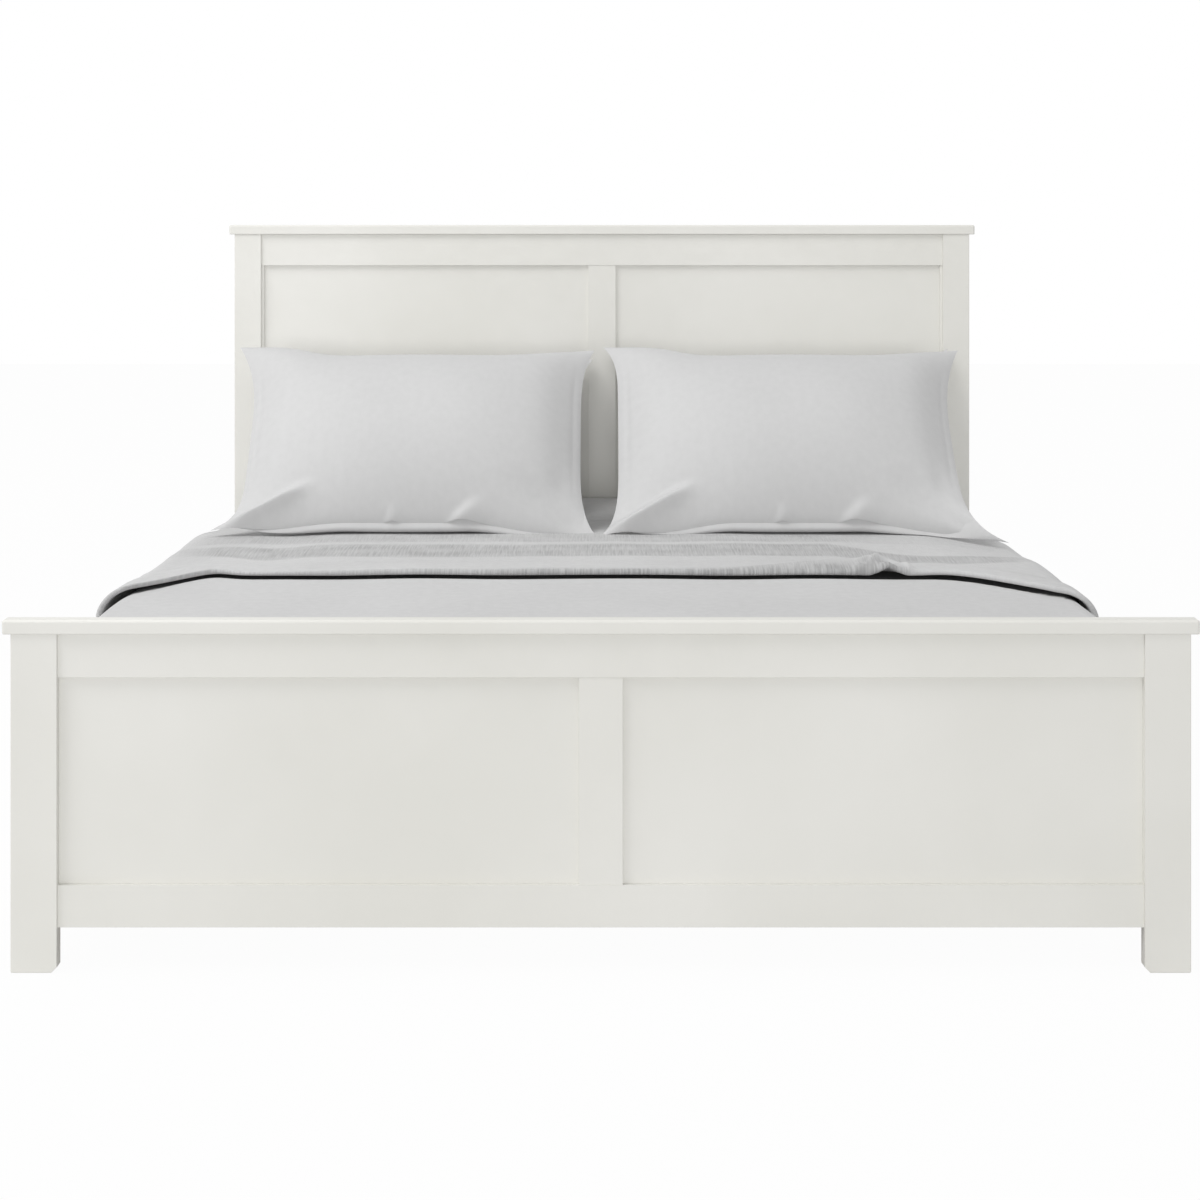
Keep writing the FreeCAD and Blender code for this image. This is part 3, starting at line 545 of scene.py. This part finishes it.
def coverShell():
    # top scaled out from the middle, a quarter round over the edge, then a hanging side that
    # stands off a little above the rails, with soft upright folds, and leans out again at the hem
    c = cover
    outline = ringOutline(c["halfX"], c["halfY"], c["corner"], c["round"])
    flat = np.linspace(0.0, 1.0, c["flatRows"])[:-1]
    angle = np.linspace(0, math.pi / 2, c["bendRows"])
    down = np.linspace(0, 1, c["hangRows"])[1:]
    inner = c["corner"] - c["edge"]
    reaches = np.concatenate([np.full(flat.size, inner), inner + c["edge"] * np.sin(angle),
                              np.full(down.size, c["corner"])])
    drop = c["top"] - c["edge"] - c["hem"]
    levels = np.concatenate([np.full(flat.size, c["top"]), c["top"] - c["edge"] * (1 - np.cos(angle)),
                             c["top"] - c["edge"] - down * drop])
    scales = np.concatenate([flat, np.ones(angle.size + down.size)])
    x, y, z, index = ringShell(outline, scales, reaches, levels, c["middleY"])
    # hang is 0 on top, 0.12 at the end of the round and 1 at the hem
    hang = np.concatenate([np.zeros(flat.size), 0.12 * np.sin(angle) ** 2, 0.12 + 0.88 * down])[:, None]
    along = outline[4]
    free = np.sin(np.clip(hang * 1.12, 0, 1) * math.pi) ** 0.8
    wave = ripple(along[None, :], 2.0 * hang * c["foldPitch"], c["foldPitch"], 23)
    push = free * (c["bulge"] * 0.55 + c["foldDepth"] * wave)
    sideways = np.abs(outline[2]) > 0.7
    push = np.where(sideways, push, push * 0.12)
    x = x + push * outline[2]
    y = y + push * outline[3]
    z = z + np.where(hang < 0.13, (coverTop(x, y, True) - c["top"]) * (1 - hang / 0.13), 0.0)
    x = x + edgeFlare(x, y) * (1 - smoothStep(hang, 0.35, 0.95))
    x = x + c["hemFlare"] * smoothStep(hang, 0.40, 0.90) * np.where(sideways, np.sign(outline[2]), 0.0)
    arc = np.concatenate([[0.0], np.cumsum(np.hypot(np.diff(reaches), np.diff(levels)))])[:, None]
    uv = np.stack([x + arc * outline[2], y + arc * outline[3]], axis=-1)
    # painted shade: the cover's colour darkens deep in the slot, for the shade of the folded sheet over it
    back = y - foldFront(x)
    paintedSlotShade = smoothStep(back, 0.002, 0.012) * (1 - smoothStep(back, 0.14, 0.20)) \
        * (1 - smoothStep(hang, 0.25, 0.42))
    return np.stack([x, y, z], axis=-1).reshape(-1, 3), quadsOf(index), uv.reshape(-1, 2), paintedSlotShade.ravel()


points, faces, uv, paintedSlotShade = coverShell()
coverPiece = newPiece("bedCover", points, faces, uv, finishes["cover"], weld=True, ribsAndPaintedShade=paintedSlotShade)
addWall(coverPiece, cover["thickness"])
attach(coverPiece, "bed")
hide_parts("bed_cover")
print("cover made")


def foldCrumple(x, y):
    # the pushed-up place: a peaked arch that lifts the front edge, and on top of it a ring of a fold,
    # a sharp ridge behind its left foot, a short one to its right, and slack that slopes up to them
    f = fold
    off = x - f["crumple"]
    back = y - foldFront(x)
    peak = np.clip(1 - np.abs(off + 0.25 * back) / 0.042, 0, 1)
    arch = f["arch"] * peak ** 1.3 * (1 - smoothStep(back, 0.0, 0.070))
    away = np.hypot((off + 0.008) / 0.050, np.clip(back, 0, None) / 0.120)
    ring = f["ring"] * bell(away, 1, 0.24) * (1 - 0.35 * smoothStep(off, 0.0, 0.05))
    pushed = ring + f["slack"] * ridgeLine(x, back, (0.20, 0.0), (0.59, 0.150), 0.030)
    for row in f["ridges"]:
        pushed = pushed + ridge(off, back, *row)
    return arch, pushed


def ridgeLine(x, y, start, end, width):
    # 1 along a slanting line, falling off behind it and, more slowly, in front of it; it dies away
    # towards the line's first end and a little past its second
    share = (x - start[0]) / (end[0] - start[0])
    line = start[1] + (end[1] - start[1]) * np.clip(share, 0, 1.1) ** 1.6
    behind = np.exp(-(np.clip(y - line, 0, None) / width) ** 2)
    before = np.clip(y / np.maximum(line, 0.004), 0, 1) ** 0.8
    return np.where(y > line, behind, before) * smoothStep(share, 0.0, 0.8) \
        * (1 - smoothStep(share, 0.98, 1.10))


def bandShift(x):
    # how far the woven bands stray along the bed: a dip at the left, and a pull towards the crumple
    pull = smoothStep(x, 0.50, 0.66) * (1 - 0.25 * smoothStep(x, 0.70, 0.95))
    return -0.028 * bell(x, -0.74, 0.07) + 0.006 * np.sin(5.0 * x) - 0.115 * pull


def foldRibs(x, y):
    # how strongly the coarse ribs and their darker colour show: in two woven bands across the bed, and along
    # the front edge as painted shade on the rolled edge
    f = fold
    (low, high), (low2, high2) = f["bands"]
    shift = bandShift(x)
    fade = 1 - 0.75 * smoothStep(np.abs(x), 0.84, 0.97)
    thin = 0.030 * smoothStep(x, 0.60, 0.72) + 0.022 * smoothStep(-x, 0.70, 0.92)
    near = smoothStep(y, low + shift + thin, low + shift + thin + 0.022) \
        * (1 - smoothStep(y, high + shift - thin - 0.022, high + shift - thin))
    far = smoothStep(y, low2 + 0.3 * shift, low2 + 0.3 * shift + 0.022) \
        * (1 - smoothStep(y, high2 - 0.022, high2))
    far = far * (1 - 0.7 * smoothStep(x, 0.45, 0.70))
    # painted shade along the rolled front edge: its colour darkens there, widest towards the crumple
    width = 0.005 + 0.019 * smoothStep(x, -0.62, -0.10) + 0.075 * smoothStep(x, 0.12, 0.56)
    width = width * (1 - 0.95 * smoothStep(x, f["crumple"], f["crumple"] + 0.05))
    edge = 1 - smoothStep(y - foldFront(x), -0.2 * width, width * 1.35)
    edge = edge * (0.55 + 0.45 * smoothStep(x, -0.6, 0.0))
    edge = edge * (1 - 0.8 * smoothStep(x, f["crumple"], f["crumple"] + 0.06))
    patchy = 1 + 0.22 * ripple(x, 1.8 * y, 0.13, 71)
    nearShade, farShade = f["bandShade"]
    return np.clip(patchy * (fade * (nearShade * near + farShade * far) + edge), 0, 1)


def foldRise(y, x):
    # height of the upper layer over its base: two long slopes that face the foot, with a narrow
    # crest between them and one near the front, drifting a little from side to side
    y = y - bandShift(x)
    slopes = 0.0030 * smoothStep(y, -0.080, 0.035) + 0.0015 * smoothStep(y, 0.094, 0.190)
    crests = 0.0008 * bell(y, 0.084, 0.012) + 0.0009 * bell(y, -0.262, 0.014)
    return slopes + crests + 0.0010 * ripple(x, y, 0.30, 31) - 0.003 * bell(x, -0.74, 0.09)


def foldShell():
    # a strip of cloth folded on itself: its profile runs forward along the top, round the front
    # roll and back underneath; across the bed it lies on the cover and turns down over both sides
    f, c = fold, cover
    # columns and rows stand closest at the pushed-up place and at the front edge
    even = np.linspace(-1, 1, 2001)
    weight = np.cumsum(1 + 1.8 * bell(even, 0.55, 0.10))
    s = np.interp(np.linspace(weight[0], weight[-1], f["across"]), weight, even)
    turn = f["edge"] * math.pi / 2
    hang = c["top"] - f["edge"] - f["hem"]
    lie = np.where(s < 0, -f["left"], f["right"]) - f["edge"]
    arc = np.abs(s) * (lie + turn + hang)
    angle = np.clip((arc - lie) / f["edge"], 0, math.pi / 2)
    baseX = np.sign(s) * (np.minimum(arc, lie) + f["edge"] * np.sin(angle))
    baseDrop = -f["edge"] * (1 - np.cos(angle)) - np.clip(arc - lie - turn, 0, None)
    outX, outZ = np.sign(s) * np.sin(angle), np.cos(angle)

    top = 1 - np.linspace(1, 0, f["alongTop"]) ** 1.6
    rollAngle = np.linspace(0, math.pi, f["alongRoll"])[1:-1]
    under = np.linspace(0, 1, f["alongUnder"])
    radius = f["thickness"] / 2
    depthTop = (f["back"] - f["front"]) * (1 - top) + radius
    backFrom = np.concatenate([depthTop, radius - radius * np.sin(rollAngle), radius + f["under"] * under])
    height = np.concatenate([np.full(top.size, 2 * radius), radius + radius * np.cos(rollAngle),
                             np.zeros(under.size)])
    onTop = np.concatenate([np.ones(top.size), 0.5 + 0.5 * np.cos(rollAngle), np.zeros(under.size)])
    opened = f["gapMore"] * smoothStep(baseX, 0.64, 0.76) * (1 - smoothStep(baseX, 0.88, 0.95))
    lift = f["gap"] * (1 - smoothStep(backFrom, 0.07, 0.17)) * (1 + opened)[:, None]

    x = baseX[:, None]
    y = np.minimum(foldFront(x) + backFrom[None, :], f["back"])
    level = (np.abs(baseDrop) < 0.02)[:, None]
    lifted, pushed = (np.where(level, part, 0.0) for part in foldCrumple(x, y))
    below = 0.30 + 0.66 * (1 - smoothStep(backFrom, 0.015, 0.090))  # the lower layer's share of the arch
    offset = f["clear"] + height + lift + (foldRise(y, x) + pushed) * onTop \
        + lifted * (below + (1 - below) * onTop)
    z0 = coverTop(np.clip(x, -c["halfX"], c["halfX"]), y) + baseDrop[:, None]
    aside = edgeFlare(x, y) * (1 - smoothStep(-baseDrop[:, None], 0.05, 0.16))
    points = np.stack([x + aside + offset * outX[:, None], y, z0 + offset * outZ[:, None]], axis=-1)
    index = np.arange(points[..., 0].size).reshape(points.shape[:2])
    clothY = np.concatenate([[0.0], np.cumsum(np.hypot(np.diff(backFrom), np.diff(height)))])
    uv = np.stack([(np.sign(s) * arc)[:, None] + 0 * y, clothY[None, :] + 0 * y], axis=-1)
    return points.reshape(-1, 3), quadsOf(index)[:, ::-1], uv.reshape(-1, 2), foldRibs(x, y).ravel()


points, faces, uv, ribsAndPaintedShade = foldShell()
foldPiece = newPiece("foldedSheet", points, faces, uv, finishes["sheet"], ribsAndPaintedShade=ribsAndPaintedShade)
addWall(foldPiece, fold["cloth"])
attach(foldPiece, "bed")
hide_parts("folded_sheet")
print("folded sheet made")


# Pillows

# lower seam's place, height and tilt of the seam's plane; how far the sheets swell to the front and
# behind; what the pillow rests on; how much fuller it is low down; how far it tucks in under the seam;
# half the seam's thickness; how far its fullest place stands aside, how round and how faceted its
# front is across, and how suddenly it bellies above the lower seam
frontPillows = {
    "seamY": 0.207, "seamZ": 0.588, "tall": 0.508, "tilt": math.radians(51.0),
    "front": 0.128, "behind": 0.172, "restZ": 0.5610, "sunk": 0.0, "tuck": 0.060, "lip": 0.0012,
    "lean": 0.05, "dome": 0.58, "facet": 3.15, "belly": 2.15, "bow": 0.88,
    "acrossCount": 170, "upCount": 120,
}
rearPillows = {
    "seamY": 0.536, "seamZ": 0.572, "tall": 0.600, "tilt": math.radians(36.0),
    "front": 0.130, "behind": 0.112, "restZ": 0.5470, "sunk": 0.50, "tuck": 0.020, "lip": 0.0016,
    "lean": 0.0, "dome": 0.45, "facet": 3.0, "belly": 2.4, "bow": 0.60,
    "acrossCount": 110, "upCount": 80,
}
# half widths left and right of its middle at the lower corners, halfway up and at the upper corners;
# how suddenly the sides flare out to the lower and upper corners; how far the top sags; how far each
# lower corner droops and is pulled forward, and each upper one is lifted
pillowOutlines = {
    "frontLeft": {"row": frontPillows, "x": -0.465, "low": (0.4630, 0.4545), "mid": (0.3905, 0.4135),
                  "high": (0.4465, 0.4470), "flareLow": (7.5, 5.5), "flareHigh": (2.8, 4.0), "sag": 0.038,
                  "droop": (0.024, 0.034), "pull": (-0.015, 0.0), "lift": (0.0, 0.0)},
    "frontRight": {"row": frontPillows, "x": 0.4555, "low": (0.4560, 0.4880), "mid": (0.4150, 0.3935),
                   "high": (0.4520, 0.4410), "flareLow": (6.5, 6.5), "flareHigh": (6.0, 2.6), "sag": 0.038,
                   "droop": (0.034, 0.032), "pull": (0.0, 0.100), "lift": (0.0, 0.0)},
    "rearLeft": {"row": rearPillows, "x": -0.481, "low": (0.420, 0.410), "mid": (0.410, 0.395),
                 "high": (0.458, 0.456), "flareLow": (6.0, 6.0), "flareHigh": (2.4, 2.4), "sag": 0.034,
                 "droop": (0.0, 0.0), "pull": (0.0, 0.0), "lift": (0.0, 0.0)},
    "rearRight": {"row": rearPillows, "x": 0.489, "low": (0.410, 0.405), "mid": (0.395, 0.410),
                  "high": (0.461, 0.468), "flareLow": (6.0, 6.0), "flareHigh": (2.4, 2.4), "sag": 0.034,
                  "droop": (0.0, 0.0), "pull": (0.0, 0.0), "lift": (0.0, 0.030)},
}
# folds of a front sheet, across and up from -1 to 1: a long one with a sharp crest up from the lower
# left corner, two short ones from the lower seam and a hollow at the lower right corner
pillowRidges = (
    ((-1.02, -1.01), (-0.53, -0.66), 0.075, 0.019, 0.6),
    ((-0.95, -0.97), (-0.55, -0.68), 0.036, 0.013, 0.6),
    ((0.07, -1.27), (0.46, -0.80), 0.060, 0.018, 0.4),
    ((-0.085, -1.24), (-0.055, -0.86), 0.030, 0.011, 0.3),
    ((0.98, -1.0), (0.60, -0.55), 0.10, -0.010, 0.0),
)


def pillowShell(spec):
    # a front and a back sheet that share one seam; u runs across and v up, both from -1 to 1. The
    # seam's sides are drawn in between the corners, the top sags, and each sheet stands off the
    # seam's plane by a product of two rounded shares, so that the corners thin out into points.
    # Below the seam the back sheet tucks straight down to the bed before it runs back
    row = spec["row"]
    u = np.sin(np.linspace(-1, 1, row["acrossCount"]) * math.pi / 2)[:, None]
    v = np.sin(np.linspace(-1, 1, row["upCount"]) * math.pi / 2)[None, :]
    right = u > 0
    low, mid, high, flareLow, flareHigh, droop, pull, lift = (
        np.where(right, spec[key][1], spec[key][0])
        for key in ("low", "mid", "high", "flareLow", "flareHigh", "droop", "pull", "lift"))
    half = mid + np.where(v > 0, (high - mid) * np.abs(v) ** flareHigh, (low - mid) * np.abs(v) ** flareLow)
    knee = np.where(right, 0.82, 0.62)
    sagging = spec["sag"] / (1 + (np.abs(u) / knee) ** np.where(right, 5.0, 8.0))
    a = u * half
    b = (v + 1) / 2 * row["tall"] - sagging * ((v + 1) / 2) ** 1.5
    ear = (smoothStep(np.abs(u), 0.30, 0.74) + 0.4 * np.abs(u) ** 9) / 1.4 * ((1 - v) / 2) ** 4
    lip = row["lip"] * (1 - np.abs(u) ** 60) * (1 - np.abs(v) ** 60)
    sin, cos = math.sin(row["tilt"]), math.cos(row["tilt"])
    facet = (1 - np.abs(u)) * row["facet"]
    dome = 1 - row["dome"] * (u - row["lean"] * (1 - u * u)) ** 2
    soft = 0.10  # how softly the dome and the facets meet
    sheets = []
    for way, reach in ((1, row["front"]), (-1, row["behind"])):
        across = -soft * np.log(np.exp(-dome / soft) + np.exp(-facet / soft))
        across = np.clip(across, 0, None) if way > 0 else (1 - np.abs(u) ** 2.4) ** 0.68
        lower = (v < 0) & (way > 0)
        power, bow = np.where(lower, row["belly"], 2.4), np.where(lower, row["bow"], 0.60)
        swell = across * (1 - np.abs(v) ** power) ** bow * (1 - row["sunk"] * v)
        c = way * (reach * swell + lip)
        folds = pillowFolds(u, v, swell) * (row is frontPillows)
        c = c + folds * (1.0 if way > 0 else 1 - smoothStep(swell, 0.0, 0.35))
        x = spec["x"] + a + 0 * c
        y = row["seamY"] + b * cos - c * sin
        z = row["seamZ"] + b * sin + c * cos
        if way < 0:
            tuck = row["tuck"] * np.tanh(-1.5 * c * sin / row["tuck"])
            y = y - tuck * (1 - smoothStep(v, -0.85, 0.1))
        z = z - droop * ear + lift * np.abs(u) ** 9 * ((1 + v) / 2) ** 4
        y = y - pull * np.abs(u) ** 5 * ((1 - v) / 2) ** 3
        rest = row["restZ"] - edgeSag(x, y)
        z = rest + 0.0015 * np.logaddexp(0, (z - rest) / 0.0015)
        sheets.append(np.stack([x, y + 0 * x, z + 0 * x], axis=-1))
    front = np.arange(u.size * v.size).reshape(u.size, v.size)
    back = front.copy()
    inner = np.arange((u.size - 2) * (v.size - 2)).reshape(u.size - 2, v.size - 2)
    back[1:-1, 1:-1] = inner + front.size
    points = np.concatenate([sheets[0].reshape(-1, 3), sheets[1][1:-1, 1:-1].reshape(-1, 3)])
    cloth = np.stack([a, b + 0 * a], axis=-1)
    uv = np.concatenate([cloth.reshape(-1, 2), cloth[1:-1, 1:-1].reshape(-1, 2)])
    return points, np.concatenate([quadsOf(front), quadsOf(back)[:, ::-1]]), uv


def pillowFolds(u, v, swell):
    # the ridges, upright slack beside the right and left seams, a dent at the right, and slow hollows
    folds = sum(ridge(u, v, *row) for row in pillowRidges)
    upright = smoothStep(v, -0.85, -0.2) * (1 - smoothStep(v, 0.35, 0.9))
    folds = folds - 0.0016 * bell(u, 0.955, 0.016) * upright
    folds = folds - 0.0020 * bell(u, -0.945, 0.016) * upright
    folds = folds - 0.004 * np.exp(-((u - 0.88) / 0.060) ** 2 - ((v + 0.60) / 0.14) ** 2)
    return folds + 0.0030 * swell * ripple(u * 0.45, v * 0.25, 0.30, 47)


for name, spec in pillowOutlines.items():
    points, faces, uv = pillowShell(spec)
    piece = newPiece("pillow" + name[0].upper() + name[1:], points, faces, uv, finishes["pillow"])
    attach(piece, "bed")
    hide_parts({"frontLeft": "pillow_front_left", "frontRight": "pillow_front_right",
                        "rearLeft": "pillow_rear_left", "rearRight": "pillow_rear_right"}[name])
print("pillows made")


# Floor, lights and camera

studio = {
    "floorColour": "#D8D8D8", "floorHalf": 14.0, "floorGlow": 0.97, "world": 0.56,
    # each lamp's place, aim, size and power
    "keyLamp": ((-4.6, -2.4, 6.8), (0, 0, 0.6), 4.0, 318.0),
    "frontLamp": ((0, -50.0, 4.5), (0, 0, 0.7), 8.0, 5770.0),
}
# fitted to the corners of both end boards: level, from the foot, with the frame shifted down
lens = {"place": (0.005, -4.487, 1.291), "length": 59.65, "sensor": 36.0, "shift": (-0.0031, -0.3125)}


def backgroundRays(tree):
    # 1 for rays that show the background: straight from the camera, in gloss, and through glass
    path = addNode(tree, "ShaderNodeLightPath")
    first = addNode(tree, "ShaderNodeMath", {0: path.outputs["Is Camera Ray"],
                                             1: path.outputs["Is Glossy Ray"]}, operation="MAXIMUM")
    return addNode(tree, "ShaderNodeMath", {0: first.outputs[0], 1: path.outputs["Is Transmission Ray"]},
                   operation="MAXIMUM").outputs[0]


def makeFloor():
    # a matt white floor; where the camera sees it, it glows to white and keeps a share of the shadow
    half = studio["floorHalf"]
    corners = np.array([[-half, -half, 0], [half, -half, 0], [half, half, 0], [-half, half, 0]], dtype=float)
    material, tree, shader = newFinish("mattFloor", studio["floorColour"], 0.9)
    glow = addNode(tree, "ShaderNodeEmission", {"Color": (1, 1, 1, 1), "Strength": 1.0})
    share = addNode(tree, "ShaderNodeMath", {0: backgroundRays(tree), 1: studio["floorGlow"]},
                    operation="MULTIPLY")
    mix = addNode(tree, "ShaderNodeMixShader", {0: share.outputs[0], 1: shader.outputs[0],
                                                2: glow.outputs[0]})
    tree.links.new(mix.outputs[0], tree.nodes["Material Output"].inputs["Surface"])
    floor = newPiece("studioFloor", corners, np.array([[0, 1, 2, 3]]), None, material, smooth=False)


def makeWorld():
    world = bpy.data.worlds.new("studioWorld")
    bpy.context.scene.world = world
    world.use_nodes = True
    tree = world.node_tree
    strength = addNode(tree, "ShaderNodeMapRange", {0: backgroundRays(tree), 3: studio["world"], 4: 1.0})
    tree.nodes["Background"].inputs["Color"].default_value = (1, 1, 1, 1)
    tree.links.new(strength.outputs[0], tree.nodes["Background"].inputs["Strength"])


def makeLamp(name, place, aim, size, power):
    lamp = bpy.data.lights.new(name, "AREA")
    lamp.shape = "SQUARE"
    lamp.size = size
    lamp.energy = power
    holder = bpy.data.objects.new(name, lamp)
    bpy.context.scene.collection.objects.link(holder)
    holder.location = place
    holder.rotation_euler = (Vector(aim) - Vector(place)).to_track_quat("-Z", "Y").to_euler()


def makeCamera():
    camera = bpy.data.cameras.new("productCamera")
    camera.sensor_width = lens["sensor"]
    camera.lens = lens["length"]
    camera.shift_x, camera.shift_y = lens["shift"]
    camera.clip_end = 100.0
    holder = bpy.data.objects.new("productCamera", camera)
    bpy.context.scene.collection.objects.link(holder)
    holder.location = lens["place"]
    holder.rotation_euler = (math.radians(90), 0, 0)
    bpy.context.scene.camera = holder


makeFloor()
makeWorld()
for name in ("keyLamp", "frontLamp"):
    makeLamp(name, *studio[name])
makeCamera()
bpy.context.scene.view_settings.view_transform = "Standard"
print("studio set")
